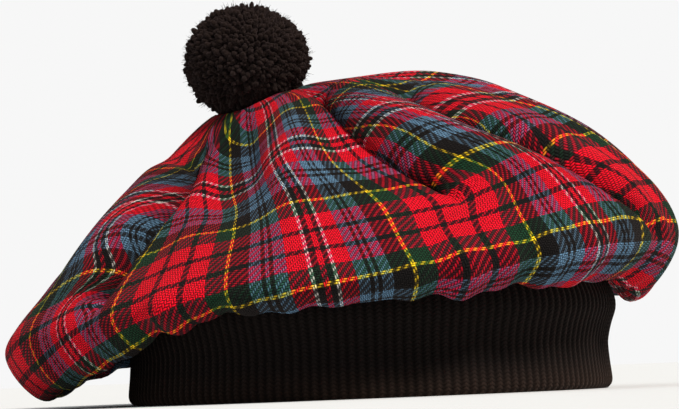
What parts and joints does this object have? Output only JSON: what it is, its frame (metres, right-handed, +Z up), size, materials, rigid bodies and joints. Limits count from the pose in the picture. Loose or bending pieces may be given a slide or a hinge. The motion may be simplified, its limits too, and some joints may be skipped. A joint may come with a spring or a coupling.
{
  "type": "tam o shanter",
  "caption": "Soft tartan wool tam o shanter with a wide gathered crown, a black ribbed knit headband and a black wool pompom.",
  "frame": {"origin": "middle of the hat's bounding box, on the surface that the rim rests on", "axes": "+Z up out of the crown, -Y to the hat's front, -X to the side where the crown hangs lower and +X to the side where it stands higher"},
  "size_m": [0.267, 0.2406, 0.1567],
  "materials": {
    "tartan_cloth": "matt twill tartan in red, green, blue, black, yellow and white",
    "ribbed_knit": "matt black rib knit",
    "wool_pile": "matt black cut yarn pile"
  },
  "bodies": {
    "root": {"crown": "tartan_cloth", "headband": "ribbed_knit", "pompom": "wool_pile"}
  },
  "joints": []
}
